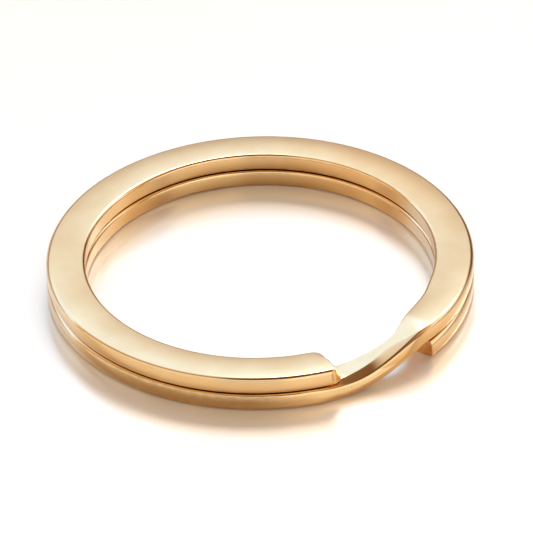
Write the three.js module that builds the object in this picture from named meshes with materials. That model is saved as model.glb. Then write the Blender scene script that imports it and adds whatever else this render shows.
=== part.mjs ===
// A split key ring: one flat spring wire wound two turns, with a waisted crossover between the turns.
// Millimetres, +Z up. The origin is the ring's centre, on the surface that the ring lies on.
// The wire is one springy piece, so it is divided into consecutive lengths that can turn a little
// against each other. An angle along the wire is a plan angle in degrees that keeps growing, from
// the lower free end, twice round the ring, to the upper free end. 0 is +X and 90 is +Y.

import * as THREE from 'three';

// Driving dimensions.
const OUTER_DIAMETER = 30.0;
const WIRE_WIDTH = 2.75;
const WIRE_THICKNESS = 1.33;
const TURN_GAP = 0.07;
const FLAT_WIDTH = 2.24;
const EDGE_SHARPNESS = 2.7;
const LENGTH_GAP = 0.06;

// Where the wire starts, flexes, climbs and ends.
const LOWER_END = -38.5;
const UPPER_END = 649.7;
const CROSSOVER_START = 286;
const CROSSOVER_END = 322.5;
const LEAF_ANGLE = 120;
const FLEX_ANGLE = 120;

// The crossover: where it climbs, and how far it is set in.
const CLIMB_FOOT = 291;
const CLIMB_TOP = 323;
const CROSSOVER_INSET = 0.14;
const INSET_START = 284;
const INSET_FULL = 292;
const INSET_FADE = 316;
const INSET_END = 338;

// The waist: how much is cut from the wire's inner side, at angles on from the crossover's start.
const WAIST_LINE = [
  [-4, 0],
  [4, 0.42],
  [10, 0.6],
  [17, 0.82],
  [22, 1.04],
  [25.5, 1.1],
  [28, 1.02],
  [30.5, 0.82],
  [33, 0.6],
  [36, 0.4],
  [42, 0.24],
  [48, 0.18],
  [56, 0],
];

// The rounded plan corners of each free end.
const INNER_CORNER_RADIUS = 0.55;
const OUTER_CORNER_RADIUS = 0.25;

// How finely the curves are divided.
const SIDE_STEPS = 6;
const DEGREES_PER_STEP = 5;
const CORNER_STEPS = 4;

const HALF_WIDTH = WIRE_WIDTH / 2;
const HALF_THICKNESS = WIRE_THICKNESS / 2;
const HALF_FLAT = FLAT_WIDTH / 2;
const CENTRE_RADIUS = OUTER_DIAMETER / 2 - HALF_WIDTH;
const TURN_RISE = WIRE_THICKNESS + TURN_GAP;

const radians = THREE.MathUtils.degToRad;
const smooth = THREE.MathUtils.smoothstep;

// The wire's cross-section: flat above and below, with crowned sides. x points out, y points up.
function sectionOutline() {
  const outline = [];
  for (const side of [1, -1]) {
    for (let step = 0; step <= SIDE_STEPS; step += 1) {
      const turn = side * (-90 + (180 * step) / SIDE_STEPS);
      const across = Math.abs(Math.cos(radians(turn))) ** (2 / EDGE_SHARPNESS);
      const up = Math.abs(Math.sin(radians(turn))) ** (2 / EDGE_SHARPNESS) * Math.sign(turn);
      const x = side * (HALF_FLAT + (HALF_WIDTH - HALF_FLAT) * across);
      outline.push(new THREE.Vector2(x, HALF_THICKNESS * up));
    }
  }
  return outline;
}

// Height of the wire above the lower turn: it climbs evenly along the crossover.
function wireRise(angle) {
  return TURN_RISE * smooth(angle, CLIMB_FOOT, CLIMB_TOP);
}

// How much of its inset the wire has, from 0 to 1.
function insetShare(angle) {
  return smooth(angle, INSET_START, INSET_FULL) - smooth(angle, INSET_FADE, INSET_END);
}

// How much narrower the wire is on its inner side.
function waistCut(angle) {
  const on = angle - CROSSOVER_START;
  const next = WAIST_LINE.findIndex(([place]) => place > on);
  if (next < 1) {
    return 0;
  }
  const [from, before] = WAIST_LINE[next - 1];
  const [to, after] = WAIST_LINE[next];
  return before + ((after - before) * (on - from)) / (to - from);
}

// How far a rounded corner of this radius cuts in, at a distance from the wire's free end.
function cornerCut(radius, distance) {
  const inside = Math.max(0, radius - distance);
  return radius - Math.sqrt(radius ** 2 - inside ** 2);
}

// The section's points in space at one angle along the wire.
function sectionAt(angle, outline) {
  const radius = CENTRE_RADIUS - CROSSOVER_INSET * insetShare(angle);
  const fromEnd = radians(Math.min(angle - LOWER_END, UPPER_END - angle)) * CENTRE_RADIUS;
  const innerCut = waistCut(angle) + cornerCut(INNER_CORNER_RADIUS, fromEnd);
  const outerCut = cornerCut(OUTER_CORNER_RADIUS, fromEnd);
  const height = HALF_THICKNESS + wireRise(angle);
  return outline.map((point) => {
    const cut = point.x < 0 ? innerCut : outerCut;
    const across = point.x * (1 - cut / HALF_WIDTH);
    const out = radius + across;
    const up = height + point.y;
    const plan = radians(angle);
    return new THREE.Vector3(out * Math.cos(plan), out * Math.sin(plan), up);
  });
}

// The angles at which a length of wire is sectioned, closer together at a rounded free end.
function stationAngles(start, end) {
  const steps = Math.ceil((end - start) / DEGREES_PER_STEP);
  const angles = [];
  for (let step = 0; step <= steps; step += 1) {
    angles.push(start + ((end - start) * step) / steps);
  }
  for (let step = 1; step <= CORNER_STEPS; step += 1) {
    const distance = INNER_CORNER_RADIUS * (1 - Math.cos(radians((90 * step) / CORNER_STEPS)));
    const turn = THREE.MathUtils.radToDeg(distance / CENTRE_RADIUS);
    if (start === LOWER_END) {
      angles.push(start + turn);
    }
    if (end === UPPER_END) {
      angles.push(end - turn);
    }
  }
  return angles.sort((a, b) => a - b);
}

// A closed solid swept along the wire from one angle to another, with a flat cut at both ends.
function wireLength(start, end) {
  const outline = sectionOutline();
  const sections = stationAngles(start, end).map((angle) => sectionAt(angle, outline));
  const count = outline.length;
  const indices = [];
  for (let ring = 0; ring < sections.length - 1; ring += 1) {
    for (let k = 0; k < count; k += 1) {
      const here = ring * count + k;
      const next = ring * count + ((k + 1) % count);
      indices.push(here, here + count, next);
      indices.push(next, here + count, next + count);
    }
  }
  const last = (sections.length - 1) * count;
  for (let k = 1; k < count - 1; k += 1) {
    indices.push(0, k, k + 1);
    indices.push(last, last + k + 1, last + k);
  }
  const geometry = new THREE.BufferGeometry().setFromPoints(sections.flat());
  geometry.setIndex(indices);
  geometry.computeVertexNormals();
  return geometry;
}

// The stretches of the wire in order, each divided into equal lengths.
function stretches() {
  const lowerFlex = LOWER_END + LEAF_ANGLE;
  const upperFlex = UPPER_END - LEAF_ANGLE - FLEX_ANGLE;
  return [
    { name: 'lower_leaf', start: LOWER_END, end: lowerFlex, lengths: 4 },
    { name: 'lower_flex', start: lowerFlex, end: lowerFlex + FLEX_ANGLE, lengths: 4 },
    { name: 'lower_run', start: lowerFlex + FLEX_ANGLE, end: CROSSOVER_START, lengths: 3 },
    { name: 'crossover', start: CROSSOVER_START, end: CROSSOVER_END, lengths: 1 },
    { name: 'upper_run', start: CROSSOVER_END, end: upperFlex, lengths: 3 },
    { name: 'upper_flex', start: upperFlex, end: upperFlex + FLEX_ANGLE, lengths: 4 },
    { name: 'upper_leaf', start: upperFlex + FLEX_ANGLE, end: UPPER_END, lengths: 4 },
  ];
}

// A length's own name. The two lengths at the wire's free ends are named for what they are.
function lengthName(stretch, index) {
  if (stretch.start === LOWER_END && index === 0) {
    return 'lower_free_end';
  }
  if (stretch.end === UPPER_END && index === stretch.lengths - 1) {
    return 'upper_free_end';
  }
  return stretch.lengths === 1 ? stretch.name : `${stretch.name}_${index + 1}`;
}

function goldPlate() {
  return new THREE.MeshStandardMaterial({ color: 0xe3b676, roughness: 0.12, metalness: 1.0 });
}

function keyRing() {
  const ring = new THREE.Group();
  const material = goldPlate();
  const halfGap = THREE.MathUtils.radToDeg(LENGTH_GAP / 2 / CENTRE_RADIUS);
  for (const stretch of stretches()) {
    const turn = (stretch.end - stretch.start) / stretch.lengths;
    for (let index = 0; index < stretch.lengths; index += 1) {
      const from = stretch.start + turn * index;
      const start = from === LOWER_END ? from : from + halfGap;
      const isLast = stretch.end === UPPER_END && index === stretch.lengths - 1;
      const end = isLast ? UPPER_END : from + turn - halfGap;
      const mesh = new THREE.Mesh(wireLength(start, end), material);
      mesh.name = lengthName(stretch, index);
      ring.add(mesh);
    }
  }
  return ring;
}

export default keyRing();
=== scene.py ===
import math

import bpy
import numpy as np
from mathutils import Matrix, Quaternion, Vector


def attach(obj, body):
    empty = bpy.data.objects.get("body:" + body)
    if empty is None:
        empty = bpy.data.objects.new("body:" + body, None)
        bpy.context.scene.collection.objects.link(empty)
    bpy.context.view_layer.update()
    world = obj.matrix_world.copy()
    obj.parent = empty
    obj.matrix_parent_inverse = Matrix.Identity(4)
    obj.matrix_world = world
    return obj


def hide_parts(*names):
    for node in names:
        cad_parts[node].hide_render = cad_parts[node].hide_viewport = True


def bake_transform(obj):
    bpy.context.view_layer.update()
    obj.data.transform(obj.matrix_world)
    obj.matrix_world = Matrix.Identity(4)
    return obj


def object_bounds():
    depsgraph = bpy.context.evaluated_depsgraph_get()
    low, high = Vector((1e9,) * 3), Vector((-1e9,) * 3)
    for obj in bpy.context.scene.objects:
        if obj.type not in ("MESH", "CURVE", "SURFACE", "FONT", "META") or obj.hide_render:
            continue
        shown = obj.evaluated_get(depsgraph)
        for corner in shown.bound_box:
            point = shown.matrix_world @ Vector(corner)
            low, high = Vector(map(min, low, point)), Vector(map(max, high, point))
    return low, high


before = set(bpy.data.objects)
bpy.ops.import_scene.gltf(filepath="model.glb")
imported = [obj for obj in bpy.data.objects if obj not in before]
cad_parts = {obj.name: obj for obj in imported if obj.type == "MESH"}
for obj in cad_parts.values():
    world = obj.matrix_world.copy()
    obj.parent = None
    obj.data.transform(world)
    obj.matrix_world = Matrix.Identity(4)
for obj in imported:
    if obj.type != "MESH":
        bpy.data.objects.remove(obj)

CAD_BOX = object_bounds()
MM = 0.001

# The wire's sizes, in millimetres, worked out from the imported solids.


def points_of(node):
    """A CAD node's points, in millimetres."""
    return np.array([v.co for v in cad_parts[node].data.vertices], float) / MM


def plan_angles(node):
    """The plan angles of a node's points, in degrees, from -180 to 180."""
    points = points_of(node)
    return np.degrees(np.arctan2(points[:, 1], points[:, 0]))


FLAT_STRETCH = points_of("lower_flex_2")
FLAT_RADII = np.hypot(FLAT_STRETCH[:, 0], FLAT_STRETCH[:, 1])
OUTER_RADIUS = (CAD_BOX[1].y - CAD_BOX[0].y) / 2 / MM
WIRE_WIDTH = FLAT_RADII.max() - FLAT_RADII.min()
WIRE_THICKNESS = FLAT_STRETCH[:, 2].max() - FLAT_STRETCH[:, 2].min()
TURN_RISE = points_of("upper_flex_2")[:, 2].min() - FLAT_STRETCH[:, 2].min()
HALF_WIDTH = WIRE_WIDTH / 2
HALF_THICKNESS = WIRE_THICKNESS / 2
CENTRE_RADIUS = OUTER_RADIUS - HALF_WIDTH

# Angles along the wire, in degrees. They keep growing from the lower free end to the upper one.
LOWER_END = plan_angles("lower_free_end").min()
UPPER_END = plan_angles("upper_free_end").max() + 720
CROSSOVER_START = plan_angles("crossover").min() + 360
CROSSOVER_END = plan_angles("crossover").max() + 360
LEAF_ANGLE = 90
BLEND_ANGLE = 180

# The cross-section: a rolled flat wire with crowned sides and faces, and polished round edges.
SIDE_CROWN = 0.02
OUTER_FILLET = 0.33
INNER_FILLET = 0.24
FACE_CROWN = 0.03

# The crossover: where it climbs, how far it is set in, and between which angles.
CLIMB_FOOT = CROSSOVER_START + 5
CLIMB_TOP = CROSSOVER_END + 0.5
CROSSOVER_INSET = 0.14
INSET_START, INSET_FULL, INSET_FADE, INSET_END = 284, 292, 316, 338

# The free ends' rounded corners and the small radius round the cut faces.
UPPER_INNER_CORNER = 0.8
LOWER_INNER_CORNER = 0.35
UPPER_OUTER_CORNER = 0.1
LOWER_OUTER_CORNER = 0.06
CUT_EDGE_RADIUS = 0.06

# The shape of the crossover. Each pair is degrees on from the crossover's start, and a value there:
# how much narrower the wire is on its inner side, how far out its upper face is creased, how steeply
# the face falls beyond the crease, how much the whole face leans, and how much the outer side leans.
WAIST_LINE = (
    (-4, 0),
    (4, 0.42),
    (10, 0.6),
    (17, 0.82),
    (22, 1.04),
    (25.5, 1.14),
    (28, 1.02),
    (30.5, 0.82),
    (33, 0.6),
    (36, 0.4),
    (42, 0.24),
    (48, 0.18),
    (56, 0),
)
CREASE_LINE = (
    (0, 0.75),
    (7, 0.63),
    (15, 0.45),
    (20, 0.34),
    (23, 0.38),
    (28, 0.7),
    (32, 1.0),
    (40, 1.05),
)
CREASE_BEND = ((-2, 0), (4, 0.3), (14, 0.3), (19, 0.16), (28, 0.1), (36, 0))
FACE_LEAN = ((-2, 0), (6, 0.03), (20, 0.03), (34, 0))
SIDE_LEAN = ((-4, 0), (6, 0.22), (22, 0.3), (34, 0.12), (42, 0))

# The crease's half width, and how many degrees to each side the values above are averaged over.
CREASE_ROUND = 0.04
KNOT_SPREAD = 2.5
KNOT_SAMPLES = 9

# The upper free end is cut on a slant, its foot this far ahead of its top, and chamfered on the
# outer side. The slant grows over its length, and a soft blend joins it to the chamfer.
SLANT_FOOT = 0.6
SLANT_LENGTH = 2.2
TOP_EDGE_TURN = 0.13
CHAMFER_TOP, CHAMFER_FOOT = 1.06, 1.2
CHAMFER_SLOPE = 1.2
CHAMFER_BLEND = 0.05

# How finely the visible wire is divided: degrees along it, extra sections at a free end's corners
# and cut edge, points round the section, and rings across a cut face.
STATION_STEP = 0.5
CORNER_SECTIONS = 24
CUT_EDGE_SECTIONS = 8
SIDE_POINTS = 6
OUTER_FILLET_POINTS = 14
OUTER_FACE_POINTS = 26
INNER_FACE_POINTS = 12
INNER_FILLET_POINTS = 11
WALL_POINTS = 5
CUT_FACE_RINGS = (1, 0.92, 0.8, 0.65, 0.5, 0.35, 0.2, 0.05)

# The steepest that the crowned side gets, the lean at which it first reaches the fillet's foot, and
# how many rounds settle the fillet between the side and the bent face.
STEEPEST_SIDE = 0.3
FULL_SIDE_LEAN = 0.05
FILLET_ROUNDS = 3

# A step along the section, in millimetres, over which the surface's direction is measured.
NUDGE = 0.002

# Where the cut faces lie on the wire's unrolled surface, well past its length, and how far aside
# the faces hidden in the seams lie.
CUT_FACE_UV = 200
SEAM_FACE_UV = 20

# What the cut faces' points are marked with, between a side and a flat face.
CUT_FACE_MARK = 0.5

# The plating's colour where it is deeper and where it is paler.
GOLD_DEEP = (0.83, 0.555, 0.285, 1)
GOLD_PALE = (0.89, 0.62, 0.34, 1)

# Its colour where the edges are rubbed, and how much of it shows there.
GOLD_WORN = (0.93, 0.70, 0.45, 1)
WEAR = 0.45

# Its tints. The outer side is painted darker along part of the lower turn, between these lengths of wire:
# painted shade from the shadowed table it faces.
GOLD_LOWER_SHADE = (0.5, 0.41, 0.33, 1)
LOWER_SHADE_START, LOWER_SHADE_FULL, LOWER_SHADE_FADE, LOWER_SHADE_NONE = 50, 57, 63.5, 68
LOWER_SHADE_LEAST = 0.1

# Painted shade: the feet of the outer sides are painted darker, and the feet of the inner sides at the
# back darkest of all.
GOLD_FOOT_SHADE = (0.82, 0.7, 0.55, 1)
FOOT_SHADE_FALL = 1.5
GOLD_SHADED = (0.42, 0.3, 0.17, 1)
SHADED_FROM, SHADED_FULL = 9.2, 11.8
FOOT_BOTTOM = 0.1

# A painted warm reflection makes the colour rosier towards the back right, and painted shade makes the
# lower free end's cut face deeper.
GOLD_ROSE_REFLECTION = (1.0, 0.9, 0.79, 1)
REFLECTION_ROSE_RIGHT = (0.0, 7.0)
REFLECTION_ROSE_BACK = (1.0, 8.0)
GOLD_CUT_SHADE = (0.78, 0.5, 0.28, 1)

# How rough the plating is where it is smoothest and roughest, and how much the wear and the painted
# shade's length add.
GLOSS_FINE, GLOSS_COARSE = 0.045, 0.1
GLOSS_WORN, GLOSS_LOWER_SHADE = 0.18, 0.1

# How strong and how deep, in metres, the drawing marks and the grain are.
MARK_STRENGTH = 0.05
MARK_DEPTH = 0.00002

# The studio's light at angles up from the horizon behind the object, over the top to the front:
# a bright softbox high behind, a dark ceiling and a pale front.
SKY_MIDDLE = (
    (0, (0.95, 0.92, 0.88)),
    (4, (0.95, 0.92, 0.88)),
    (9, (0.36, 0.28, 0.2)),
    (20, (0.44, 0.38, 0.32)),
    (27, (0.6, 0.63, 0.72)),
    (31, (0.76, 0.81, 0.96)),
    (35, (0.96, 1.1, 1.3)),
    (39, (1.35, 1.55, 1.95)),
    (43, (2.6, 2.7, 2.9)),
    (47, (14, 14, 14)),
    (54, (14, 14, 14)),
    (57, (0.7, 0.5, 0.32)),
    (68, (0.3, 0.19, 0.11)),
    (95, (0.16, 0.08, 0.04)),
    (112, (0.12, 0.05, 0.025)),
    (119, (0.4, 0.3, 0.2)),
    (127, (1.15, 1.2, 1.1)),
    (136, (1.1, 1.1, 1.05)),
    (142, (0.8, 0.8, 0.78)),
    (168, (0.8, 0.8, 0.78)),
    (180, (1.0, 1.0, 1.0)),
)

# The middle sweep gives way to the two side sweeps between these half widths, either side of its
# centre, and the left one passes into the right one across this far each way.
SKY_CENTRE = 0.11
SKY_EDGE = 0.17
SKY_FALL = 0.33
SKY_CHANGE = 0.2

# The softbox has no part in the side sweeps. The left one is paler and the right one warmer.
SKY_LEFT = (
    (0, (0.95, 0.92, 0.88)),
    (4, (0.95, 0.92, 0.88)),
    (9, (0.36, 0.28, 0.2)),
    (20, (0.44, 0.38, 0.32)),
    (27, (0.6, 0.62, 0.7)),
    (31, (0.77, 0.82, 0.95)),
    (35, (0.98, 1.12, 1.33)),
    (40, (1.08, 1.42, 1.95)),
    (46, (1.1, 1.48, 2.15)),
    (64, (1.08, 1.48, 2.15)),
    (84, (0.9, 0.8, 0.62)),
    (104, (0.4, 0.26, 0.15)),
    (120, (1.0, 0.95, 0.8)),
    (180, (1.0, 0.95, 0.85)),
)
SKY_RIGHT = (
    (0, (0.95, 0.92, 0.88)),
    (4, (0.95, 0.92, 0.88)),
    (9, (0.36, 0.28, 0.2)),
    (20, (0.44, 0.38, 0.32)),
    (27, (0.6, 0.62, 0.7)),
    (31, (0.75, 0.79, 0.91)),
    (35, (0.95, 1.08, 1.25)),
    (40, (1.4, 1.6, 1.9)),
    (50, (1.5, 1.4, 1.2)),
    (62, (1.0, 0.75, 0.45)),
    (84, (0.6, 0.38, 0.2)),
    (108, (0.22, 0.11, 0.05)),
    (117, (1.35, 1.35, 1.25)),
    (150, (1.3, 1.3, 1.2)),
    (180, (1.1, 1.05, 0.95)),
)

# A dark screen stands low on the right, behind the object, full to one angle from its middle and
# gone at the other.
SHADE_TOWARD = (0.52, 0.82, 0.2)
SHADE_FULL, SHADE_WIDE = 10, 22
SKY_SHADE = (0.16, 0.1, 0.06, 1)

# The sweep of the studio's light is turned this far about the vertical.
SKY_TURN = -14

# The pale table under the ring: its half width in metres, colour and sheen.
FLOOR_HALF = 2.0
FLOOR_COLOUR = (0.96, 0.885, 0.78, 1)
FLOOR_ROUGHNESS = 0.24
FLOOR_METALLIC = 0.38

# The camera looks along +Y and down at the ring through a long lens. Lengths are in millimetres.
CAMERA_LENS = 374.5
CAMERA_DISTANCE = 391.6
CAMERA_ELEVATION = 35.12
CAMERA_ROLL = -1.57
CAMERA_TARGET = (0.443, 2.222, 0)
CAMERA_SENSOR = 36

# The nearest and farthest that the camera sees, in metres.
CAMERA_CLIP = (0.01, 10)


def clamp01(x):
    return np.clip(x, 0.0, 1.0)


def smooth(x, low, high):
    share = clamp01((x - low) / (high - low))
    return share * share * (3 - 2 * share)


def top_surface(x, crease, bend, lean):
    """Height and slope of the wire's upper face at a distance out from its middle line."""
    span = HALF_WIDTH - (OUTER_FILLET if x > 0 else INNER_FILLET)
    beyond = x - crease
    soft = math.hypot(beyond, CREASE_ROUND)
    height = HALF_THICKNESS - FACE_CROWN * (x / span) ** 2
    height -= lean * (x + HALF_WIDTH) + bend * (beyond + soft) / 2
    slope = 2 * FACE_CROWN * x / span**2 + lean + bend * (1 + beyond / soft) / 2
    return height, slope


def half_outline(crease, bend, lean, side):
    """The upper half of the section's outline, its face bent beyond a crease and its side leant."""
    points = []
    flat_out, flat_in = HALF_WIDTH - OUTER_FILLET - SIDE_CROWN, HALF_WIDTH - INNER_FILLET
    for _ in range(FILLET_ROUNDS):
        edge_height, edge_slope = top_surface(flat_out, crease, bend, lean)
        tip = math.atan(edge_slope)
        bulge = edge_height - OUTER_FILLET / math.cos(tip)
        foot = math.atan(min(2 * SIDE_CROWN / bulge, STEEPEST_SIDE) + side)
        rise = bulge + OUTER_FILLET * math.sin(foot) * min(1, side / FULL_SIDE_LEAN)
        flat_out = HALF_WIDTH - SIDE_CROWN - side * rise - OUTER_FILLET * math.cos(math.atan(side))
    for y in np.linspace(0, rise, SIDE_POINTS, endpoint=False):
        out = HALF_WIDTH - SIDE_CROWN * (y / rise) ** 2 - side * y
        points.append((out, y, math.atan(2 * SIDE_CROWN * y / rise**2 + side)))
    for a in np.linspace(foot, math.pi / 2 - tip, OUTER_FILLET_POINTS):
        out = flat_out + OUTER_FILLET * math.cos(a)
        points.append((out, bulge + OUTER_FILLET * math.sin(a), a))
    face = list(np.linspace(points[-1][0], 0, OUTER_FACE_POINTS)[1:])
    face += list(np.linspace(0, -flat_in, INNER_FACE_POINTS)[1:])
    for x in face:
        height, slope = top_surface(x, crease, bend, lean)
        points.append((x, height, math.pi / 2 - math.atan(slope)))
    wall = points[-1][1] - INNER_FILLET
    inner_start = math.pi / 2 + 2 * FACE_CROWN / flat_in
    for a in np.linspace(inner_start, math.pi, INNER_FILLET_POINTS)[1:]:
        out = -flat_in + INNER_FILLET * math.cos(a)
        points.append((out, wall + INNER_FILLET * math.sin(a), a))
    for y in np.linspace(wall, 0, WALL_POINTS)[1:]:
        points.append((-HALF_WIDTH, y, math.pi))
    return np.array(points)


def outline_points(crease=0.0, bend=0.0, lean=0.0, side=0.0):
    """The section's points and the direction each faces, anticlockwise from the outer side."""
    top = half_outline(crease, bend, lean, side)
    below = half_outline(0.0, 0.0, 0.0, 0.0)
    bottom = np.stack([below[:, 0], -below[:, 1], -below[:, 2]], 1)[::-1][1:-1]
    return np.concatenate([top, bottom])


def along_crossover(angles, knots):
    """A value given at a few angles on from the crossover's start, rounded off between them."""
    places = [CROSSOVER_START + knot for knot, _ in knots]
    values = [value for _, value in knots]
    spread = np.linspace(-KNOT_SPREAD, KNOT_SPREAD, KNOT_SAMPLES)
    return np.mean([np.interp(angles + step, places, values) for step in spread], axis=0)


def wire_rise(angle):
    """Height of the wire above the lower turn."""
    return TURN_RISE * smooth(angle, CLIMB_FOOT, CLIMB_TOP)


def inset_share(angle):
    """How much of its inset the wire has, from 0 to 1."""
    return smooth(angle, INSET_START, INSET_FULL) - smooth(angle, INSET_FADE, INSET_END)


def corner_cut(radius, distance):
    """How far a corner of this radius cuts in, at a distance from the end."""
    inside = np.maximum(0, radius - distance)
    return radius - np.sqrt(radius**2 - inside**2)


def end_reach(x, y):
    """How far the upper free end reaches beyond its top outer corner, at points of its section."""
    height = clamp01((y + HALF_THICKNESS) / WIRE_THICKNESS)
    slant = SLANT_FOOT * (1 - height) - TOP_EDGE_TURN * (CHAMFER_TOP - x)
    chamfer = (CHAMFER_FOOT + (CHAMFER_TOP - CHAMFER_FOOT) * height - x) * CHAMFER_SLOPE
    blend = np.sqrt((slant - chamfer) ** 2 + CHAMFER_BLEND**2)
    return (slant + chamfer - blend) / 2


def wire_points(angles, x, y):
    """The wire's surface, in millimetres, at angles along it and at points x, y of its section."""
    slant = smooth(angles, UPPER_END - math.degrees(SLANT_LENGTH / CENTRE_RADIUS), UPPER_END)
    shift = np.degrees(end_reach(x, y) / CENTRE_RADIUS) * slant
    before_end = np.maximum(np.radians(UPPER_END - angles) * CENTRE_RADIUS, 0)
    after_start = np.maximum(np.radians(angles - LOWER_END) * CENTRE_RADIUS, 0)
    inner_cut = along_crossover(angles, WAIST_LINE) + corner_cut(UPPER_INNER_CORNER, before_end)
    inner_cut = inner_cut + corner_cut(LOWER_INNER_CORNER, after_start)
    outer_cut = corner_cut(UPPER_OUTER_CORNER, before_end)
    outer_cut = outer_cut + corner_cut(LOWER_OUTER_CORNER, after_start)
    across = x * (1 - np.where(x < 0, inner_cut, outer_cut) / HALF_WIDTH)
    out = CENTRE_RADIUS - CROSSOVER_INSET * inset_share(angles) + across
    up = HALF_THICKNESS + wire_rise(angles) + y
    plan = np.radians(angles + shift)
    return np.stack([out * np.cos(plan), out * np.sin(plan), up], -1)


def stations(start, end):
    """The angles at which a piece is sectioned, closer together on the rounded free ends."""
    angles = list(np.linspace(start, end, int((end - start) / STATION_STEP) + 1))
    for radius, count in ((UPPER_INNER_CORNER, CORNER_SECTIONS), (CUT_EDGE_RADIUS, CUT_EDGE_SECTIONS)):
        for distance in radius * (1 - np.cos(np.linspace(0, math.pi / 2, count))):
            turn = math.degrees(distance / CENTRE_RADIUS)
            if start == LOWER_END:
                angles.append(start + turn)
            if end == UPPER_END:
                angles.append(end - turn)
    return np.unique(np.round(angles, 6))


def wire_grid(angles):
    """Points and unit normals of the wire's surface, one row for each angle."""
    along = angles[:, None]
    plain = outline_points()
    creases = along_crossover(angles, CREASE_LINE)
    bends = along_crossover(angles, CREASE_BEND)
    leans = along_crossover(angles, FACE_LEAN)
    sides = along_crossover(angles, SIDE_LEAN)
    shapes = zip(creases, bends, leans, sides)
    outline = [outline_points(*shape) if max(shape[1:]) > 0 else plain for shape in shapes]
    outline = np.array(outline)
    from_end = np.radians(np.minimum(along - LOWER_END, UPPER_END - along)) * CENTRE_RADIUS
    shrink = corner_cut(CUT_EDGE_RADIUS, np.maximum(from_end, 0))
    facing = outline[:, :, 2]
    x = outline[:, :, 0] - shrink * np.cos(facing)
    y = outline[:, :, 1] - shrink * np.sin(facing)
    points = wire_points(along, x, y)
    dx, dy = -np.sin(facing) * NUDGE, np.cos(facing) * NUDGE
    around = wire_points(along, x + dx, y + dy) - wire_points(along, x - dx, y - dy)
    onward = np.gradient(points, axis=0)
    normals = np.cross(onward, around)
    return points, normals / np.linalg.norm(normals, axis=2, keepdims=True)


def end_patch(angle, columns, order, first, count):
    """A free end's cut face: rings of the section drawn in to its middle, with exact normals."""
    outline = outline_points()
    x = outline[:, 0] - CUT_EDGE_RADIUS * np.cos(outline[:, 2])
    y = outline[:, 1] - CUT_EDGE_RADIUS * np.sin(outline[:, 2])
    levels = np.array(CUT_FACE_RINGS)[:, None]
    across, up = levels * x, levels * y
    outward = wire_points(angle, across + NUDGE, up) - wire_points(angle, across - NUDGE, up)
    upward = wire_points(angle, across, up + NUDGE) - wire_points(angle, across, up - NUDGE)
    normals = np.cross(outward, upward) * order
    normals = normals / np.linalg.norm(normals, axis=2, keepdims=True)
    points = wire_points(angle, across, up)[1:].reshape(-1, 3)
    faces, loop_normals, loop_uv = [], [], []

    def number(level, column):
        return first + column if level == 0 else count + (level - 1) * columns + column

    for level in range(len(levels) - 1):
        for c in range(columns):
            d = (c + 1) % columns
            corners = [(level, c), (level, d), (level + 1, d), (level + 1, c)][::order]
            faces.append([number(*corner) for corner in corners])
            loop_normals += [normals[corner] for corner in corners]
            loop_uv += [(across[corner] + CUT_FACE_UV, up[corner]) for corner in corners]
    last = [(len(levels) - 1, c) for c in range(columns)][::order]
    faces.append([number(*corner) for corner in last])
    loop_normals += [normals[corner] for corner in last]
    loop_uv += [(across[corner] + CUT_FACE_UV, up[corner]) for corner in last]
    return points, faces, loop_normals, loop_uv


def wire_piece(name, start, end):
    """A closed length of the wire, from one angle to another, with smooth exact normals."""
    inside = stations(start, end)
    before = [] if start == LOWER_END else [start - STATION_STEP]
    after = [] if end == UPPER_END else [end + STATION_STEP]
    outline = outline_points()
    angles = np.concatenate([before, inside, after])
    points, normals = wire_grid(angles)
    first = len(before)
    points, normals = points[first : first + len(inside)], normals[first : first + len(inside)]
    rows, columns = points.shape[:2]
    faces, loop_normals, loop_uv = [], [], []
    along = np.radians(inside) * CENTRE_RADIUS
    girth = np.linalg.norm(np.roll(outline[:, :2], -1, 0) - outline[:, :2], axis=1)
    around = np.concatenate([[0], np.cumsum(girth)])
    for r in range(rows - 1):
        for c in range(columns):
            d = (c + 1) % columns
            corners = [(r, c, c), (r, d, c + 1), (r + 1, d, c + 1), (r + 1, c, c)]
            faces.append([i * columns + j for i, j, _ in corners][::-1])
            loop_normals += [normals[i, j] for i, j, _ in corners][::-1]
            loop_uv += [(along[i], around[k]) for i, _, k in corners][::-1]
    points = points.reshape(-1, 3)
    for row, order, open_end in ((0, 1, start == LOWER_END), (rows - 1, -1, end == UPPER_END)):
        if open_end:
            patch = end_patch(inside[row], columns, order, row * columns, len(points))
            points = np.concatenate([points, patch[0]])
            faces += patch[1]
            loop_normals += patch[2]
            loop_uv += patch[3]
            continue
        ring = list(range(columns))[::order]
        faces.append([row * columns + c for c in ring])
        plan = math.radians(inside[row])
        face = order * np.array([math.sin(plan), -math.cos(plan), 0])
        loop_normals += [face] * columns
        loop_uv += [(along[row] + outline[c, 0], outline[c, 1] + SEAM_FACE_UV) for c in ring]
    mesh = bpy.data.meshes.new(name)
    mesh.from_pydata((points * MM).tolist(), [], faces)
    mesh.polygons.foreach_set("use_smooth", [True] * len(faces))
    layer = mesh.uv_layers.new(name="wire_mm")
    layer.data.foreach_set("uv", np.array(loop_uv, float).ravel())
    mesh.normals_split_custom_set(np.array(loop_normals).tolist())
    cut_marks = np.full(len(points) - rows * columns, CUT_FACE_MARK)
    facing = outline[:, 2]
    marks = {
        "side": np.abs(np.cos(facing)),
        "edge": np.abs(np.sin(2 * facing)),
        "inner": np.maximum(0, -np.cos(facing)),
    }
    for label, value in marks.items():
        attribute = mesh.attributes.new(label, "FLOAT", "POINT")
        attribute.data.foreach_set("value", np.concatenate([np.tile(value, rows), cut_marks]))
    piece = bpy.data.objects.new(name, mesh)
    bpy.context.scene.collection.objects.link(piece)
    return piece


# The gold plating.


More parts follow.
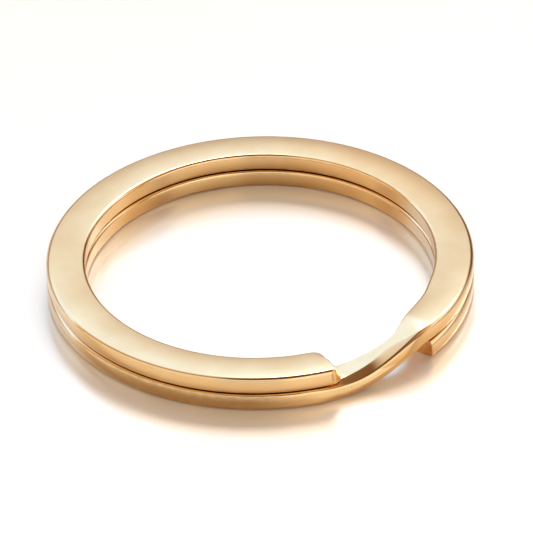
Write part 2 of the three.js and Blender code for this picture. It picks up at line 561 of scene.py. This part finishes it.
def gold_material():
    """Polished gold plate: two tones, worn edges, painted shade on a length of the lower turn, the feet
    and a cut face, a painted rosy reflection, drawing marks and fine grain.
    """
    material = bpy.data.materials.new("polished_gold_plate")
    material.use_nodes = True
    nodes, links = material.node_tree.nodes, material.node_tree.links
    shader = nodes["Principled BSDF"]
    shader.inputs["Metallic"].default_value = 1.0
    where = nodes.new("ShaderNodeUVMap")
    where.uv_map = "wire_mm"

    def noise(scale, stretch, detail):
        """Noise on the wire's unrolled surface, stretched along the wire and round it."""
        mapping = nodes.new("ShaderNodeMapping")
        mapping.inputs["Scale"].default_value = stretch
        links.new(where.outputs["UV"], mapping.inputs["Vector"])
        texture = nodes.new("ShaderNodeTexNoise")
        texture.inputs["Scale"].default_value = scale
        texture.inputs["Detail"].default_value = detail
        links.new(mapping.outputs["Vector"], texture.inputs["Vector"])
        return texture

    def mapped(source, low, high, to_low, to_high):
        node = nodes.new("ShaderNodeMapRange")
        node.inputs["From Min"].default_value = low
        node.inputs["From Max"].default_value = high
        node.inputs["To Min"].default_value = to_low
        node.inputs["To Max"].default_value = to_high
        links.new(source, node.inputs["Value"])
        return node.outputs["Result"]

    def combined(operation, first, second):
        node = nodes.new("ShaderNodeMath")
        node.operation = operation
        for socket, value in zip(node.inputs, (first, second)):
            if isinstance(value, float):
                socket.default_value = value
            else:
                links.new(value, socket)
        return node.outputs["Value"]

    def blended(factor, first, second, kind="MIX"):
        node = nodes.new("ShaderNodeMix")
        node.data_type = "RGBA"
        node.blend_type = kind
        links.new(factor, node.inputs["Factor"])
        for label, value in (("A", first), ("B", second)):
            if isinstance(value, tuple):
                node.inputs[label].default_value = value
            else:
                links.new(value, node.inputs[label])
        return node.outputs["Result"]

    def painted(label):
        node = nodes.new("ShaderNodeAttribute")
        node.attribute_name = label
        return node.outputs["Fac"]

    side, edge = painted("side"), painted("edge")
    split = nodes.new("ShaderNodeSeparateXYZ")
    links.new(where.outputs["UV"], split.inputs["Vector"])
    length = split.outputs["X"]
    lower = mapped(length, LOWER_SHADE_START, LOWER_SHADE_FULL, LOWER_SHADE_LEAST, 1.0)
    lower = combined("MULTIPLY", lower, mapped(length, LOWER_SHADE_FADE, LOWER_SHADE_NONE, 1.0, 0.0))
    place = nodes.new("ShaderNodeTexCoord")
    spot = nodes.new("ShaderNodeSeparateXYZ")
    links.new(place.outputs["Object"], spot.inputs["Vector"])

    tone = mapped(noise(0.35, (1, 1, 1), 2).outputs["Fac"], 0.3, 0.7, 0.0, 1.0)
    wear_noise = mapped(noise(2.6, (0.5, 1.5, 1), 5).outputs["Fac"], 0.42, 0.68, 0.0, 1.0)
    drawn = noise(1.0, (0.35, 16, 1), 4).outputs["Fac"]
    brushed = noise(1.0, (18, 0.8, 1), 3).outputs["Fac"]
    grain = noise(9.0, (1, 1, 1), 3).outputs["Fac"]

    colour = blended(tone, GOLD_DEEP, GOLD_PALE)
    right, back, up = spot.outputs["X"], spot.outputs["Y"], spot.outputs["Z"]
    # Painted reflection: the colour is warmed towards the back right.
    rosy_right = mapped(right, REFLECTION_ROSE_RIGHT[0] * MM, REFLECTION_ROSE_RIGHT[1] * MM, 0.0, 1.0)
    rosy_back = mapped(back, REFLECTION_ROSE_BACK[0] * MM, REFLECTION_ROSE_BACK[1] * MM, 0.0, 1.0)
    colour = blended(combined("MULTIPLY", rosy_right, rosy_back), colour, GOLD_ROSE_REFLECTION, "MULTIPLY")
    far = mapped(back, SHADED_FROM * MM, SHADED_FULL * MM, 0.0, 1.0)

    # Height above the foot of whichever turn it is.
    height = combined("MODULO", up, TURN_RISE * MM)
    foot = mapped(height, FOOT_BOTTOM * MM, WIRE_THICKNESS * MM, 1.0, 0.0)
    inner = combined("POWER", painted("inner"), 2.0)
    # Painted shade at the feet of the inner sides at the back.
    shaded = combined("MULTIPLY", combined("MULTIPLY", inner, far), foot)
    colour = blended(shaded, colour, GOLD_SHADED, "MULTIPLY")
    # Painted shade on the lower free end's cut face.
    cut = mapped(length, CUT_FACE_UV - 10, CUT_FACE_UV - 9, 0.0, 1.0)
    on_lower_turn = mapped(up, WIRE_THICKNESS * MM, TURN_RISE * MM, 1.0, 0.0)
    colour = blended(combined("MULTIPLY", cut, on_lower_turn), colour, GOLD_CUT_SHADE, "MULTIPLY")
    outside = combined("SUBTRACT", 1.0, painted("inner"))
    outer_side = combined("MULTIPLY", combined("POWER", side, 2.0), outside)
    # Painted shade at the feet of the outer sides.
    foot_shade = combined("MULTIPLY", outer_side, combined("POWER", foot, FOOT_SHADE_FALL))
    colour = blended(foot_shade, colour, GOLD_FOOT_SHADE, "MULTIPLY")
    # Painted shade along the outer side of part of the lower turn, streaked along the brushing.
    lower_shade = combined("MULTIPLY", outer_side, lower)
    lower_shade = combined("MULTIPLY", lower_shade, mapped(brushed, 0.3, 0.7, 0.75, 1.0))
    colour = blended(lower_shade, colour, GOLD_LOWER_SHADE, "MULTIPLY")
    worn = combined("MULTIPLY", combined("MULTIPLY", edge, wear_noise), WEAR)
    colour = blended(worn, colour, GOLD_WORN)
    links.new(colour, shader.inputs["Base Color"])

    gloss = mapped(drawn, 0.3, 0.7, GLOSS_FINE, GLOSS_COARSE)
    gloss = combined("ADD", gloss, combined("MULTIPLY", worn, GLOSS_WORN))
    gloss = combined("ADD", gloss, combined("MULTIPLY", lower_shade, GLOSS_LOWER_SHADE))
    links.new(gloss, shader.inputs["Roughness"])

    streaks = combined("ADD", drawn, combined("MULTIPLY", brushed, side))
    bump = nodes.new("ShaderNodeBump")
    bump.inputs["Strength"].default_value = MARK_STRENGTH
    bump.inputs["Distance"].default_value = MARK_DEPTH
    links.new(combined("ADD", streaks, grain), bump.inputs["Height"])
    links.new(bump.outputs["Normal"], shader.inputs["Normal"])
    return material


# The pieces and the bodies they ride on.


def add_wire():
    """Three rigid lengths of wire, each attached to its body, and between them two lengths joining one
    body to the next, baked in place.
    """
    gold = gold_material()
    lower_bend = LOWER_END + LEAF_ANGLE
    upper_bend = UPPER_END - LEAF_ANGLE - BLEND_ANGLE
    rigid = (
        ("lower_leaf_wire", LOWER_END, lower_bend, "lower_leaf",
         ("lower_free_end", "lower_leaf_2", "lower_leaf_3")),
        ("middle_wire", lower_bend + BLEND_ANGLE, upper_bend, "middle",
         ("lower_run_2", "lower_run_3", "crossover", "upper_run_1", "upper_run_2")),
        ("upper_leaf_wire", upper_bend + BLEND_ANGLE, UPPER_END, "upper_leaf",
         ("upper_leaf_2", "upper_leaf_3", "upper_free_end")),
    )
    for name, start, end, body, nodes in rigid:
        piece = wire_piece(name, start, end)
        piece.data.materials.append(gold)
        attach(piece, body)
        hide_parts(*nodes)
    bends = (
        ("lower_bend_wire", lower_bend, "lower_leaf", "middle",
         ("lower_leaf_4", "lower_flex_1", "lower_flex_2", "lower_flex_3", "lower_flex_4", "lower_run_1")),
        ("upper_bend_wire", upper_bend, "middle", "upper_leaf",
         ("upper_run_3", "upper_flex_1", "upper_flex_2", "upper_flex_3", "upper_flex_4", "upper_leaf_1")),
    )
    for name, start, body, next_body, nodes in bends:
        piece = wire_piece(name, start, start + BLEND_ANGLE)
        piece.data.materials.append(gold)
        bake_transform(piece)
        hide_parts(*nodes)


# The floor, the light and the camera.


def add_floor():
    mesh = bpy.data.meshes.new("floor")
    corners = [(x * FLOOR_HALF, y * FLOOR_HALF, 0) for x, y in ((-1, -1), (1, -1), (1, 1), (-1, 1))]
    mesh.from_pydata(corners, [], [(0, 1, 2, 3)])
    floor = bpy.data.objects.new("floor", mesh)
    bpy.context.scene.collection.objects.link(floor)
    material = bpy.data.materials.new("white_table")
    material.use_nodes = True
    shader = material.node_tree.nodes["Principled BSDF"]
    shader.inputs["Base Color"].default_value = FLOOR_COLOUR
    shader.inputs["Roughness"].default_value = FLOOR_ROUGHNESS
    shader.inputs["Metallic"].default_value = FLOOR_METALLIC
    mesh.materials.append(material)


def add_light():
    """A plain studio: one middle and two side sweeps of light over the object, and a dark screen."""
    world = bpy.data.worlds.new("studio")
    bpy.context.scene.world = world
    world.use_nodes = True
    nodes, links = world.node_tree.nodes, world.node_tree.links
    background = nodes["Background"]
    where = nodes.new("ShaderNodeTexCoord")
    swing = nodes.new("ShaderNodeVectorRotate")
    swing.rotation_type = "Z_AXIS"
    swing.inputs["Angle"].default_value = math.radians(-SKY_TURN)
    links.new(where.outputs["Generated"], swing.inputs["Vector"])
    split = nodes.new("ShaderNodeSeparateXYZ")
    links.new(swing.outputs["Vector"], split.inputs["Vector"])
    turn = nodes.new("ShaderNodeMath")
    turn.operation = "ARCTAN2"
    links.new(split.outputs["Z"], turn.inputs[0])
    links.new(split.outputs["Y"], turn.inputs[1])
    share = nodes.new("ShaderNodeMath")
    share.operation = "DIVIDE"
    share.inputs[1].default_value = math.pi
    links.new(turn.outputs["Value"], share.inputs[0])

    def swept(levels):
        """A ramp of light over the object, from the horizon behind it to the one in front."""
        ramp = nodes.new("ShaderNodeValToRGB")
        stops = ramp.color_ramp.elements
        while len(stops) > 1:
            stops.remove(stops[-1])
        stops[0].position = levels[0][0] / 180
        stops[0].color = (*levels[0][1], 1)
        for angle, level in levels[1:]:
            stops.new(angle / 180).color = (*level, 1)
        links.new(share.outputs["Value"], ramp.inputs["Fac"])
        return ramp.outputs["Color"]

    offset = nodes.new("ShaderNodeMath")
    offset.operation = "SUBTRACT"
    offset.inputs[1].default_value = SKY_CENTRE
    links.new(split.outputs["X"], offset.inputs[0])
    aside = nodes.new("ShaderNodeMath")
    aside.operation = "ABSOLUTE"
    links.new(offset.outputs["Value"], aside.inputs[0])
    edge = nodes.new("ShaderNodeMapRange")
    edge.interpolation_type = "SMOOTHSTEP"
    edge.inputs["From Min"].default_value = SKY_EDGE
    edge.inputs["From Max"].default_value = SKY_FALL
    links.new(aside.outputs["Value"], edge.inputs["Value"])
    mix = nodes.new("ShaderNodeMix")
    mix.data_type = "RGBA"
    links.new(edge.outputs["Result"], mix.inputs["Factor"])
    links.new(swept(SKY_MIDDLE), mix.inputs["A"])
    sides = nodes.new("ShaderNodeMix")
    sides.data_type = "RGBA"
    links.new(swept(SKY_LEFT), sides.inputs["A"])
    links.new(swept(SKY_RIGHT), sides.inputs["B"])
    toward = nodes.new("ShaderNodeMapRange")
    toward.inputs["From Min"].default_value = -SKY_CHANGE
    toward.inputs["From Max"].default_value = SKY_CHANGE
    links.new(offset.outputs["Value"], toward.inputs["Value"])
    links.new(toward.outputs["Result"], sides.inputs["Factor"])
    links.new(sides.outputs["Result"], mix.inputs["B"])
    near = nodes.new("ShaderNodeVectorMath")
    near.operation = "DOT_PRODUCT"
    near.inputs[1].default_value = Vector(SHADE_TOWARD).normalized()
    links.new(where.outputs["Generated"], near.inputs[0])
    shade = nodes.new("ShaderNodeMapRange")
    shade.interpolation_type = "SMOOTHSTEP"
    shade.inputs["From Min"].default_value = math.cos(math.radians(SHADE_WIDE))
    shade.inputs["From Max"].default_value = math.cos(math.radians(SHADE_FULL))
    links.new(near.outputs["Value"], shade.inputs["Value"])
    shaded = nodes.new("ShaderNodeMix")
    shaded.data_type = "RGBA"
    links.new(shade.outputs["Result"], shaded.inputs["Factor"])
    links.new(mix.outputs["Result"], shaded.inputs["A"])
    shaded.inputs["B"].default_value = SKY_SHADE
    links.new(shaded.outputs["Result"], background.inputs["Color"])


def add_camera():
    data = bpy.data.cameras.new("camera")
    data.sensor_width = CAMERA_SENSOR
    data.lens = CAMERA_LENS
    data.clip_start, data.clip_end = CAMERA_CLIP
    camera = bpy.data.objects.new("camera", data)
    bpy.context.scene.collection.objects.link(camera)
    tilt = math.radians(CAMERA_ELEVATION)
    back = Vector((0, -math.cos(tilt), math.sin(tilt)))
    camera.location = Vector(CAMERA_TARGET) * MM + back * CAMERA_DISTANCE * MM
    camera.rotation_mode = "QUATERNION"
    roll = Quaternion((0, 0, 1), math.radians(CAMERA_ROLL))
    camera.rotation_quaternion = (-back).to_track_quat("-Z", "Y") @ roll
    bpy.context.scene.camera = camera


add_wire()
add_floor()
add_light()
add_camera()
bpy.context.scene.view_settings.view_transform = "Standard"
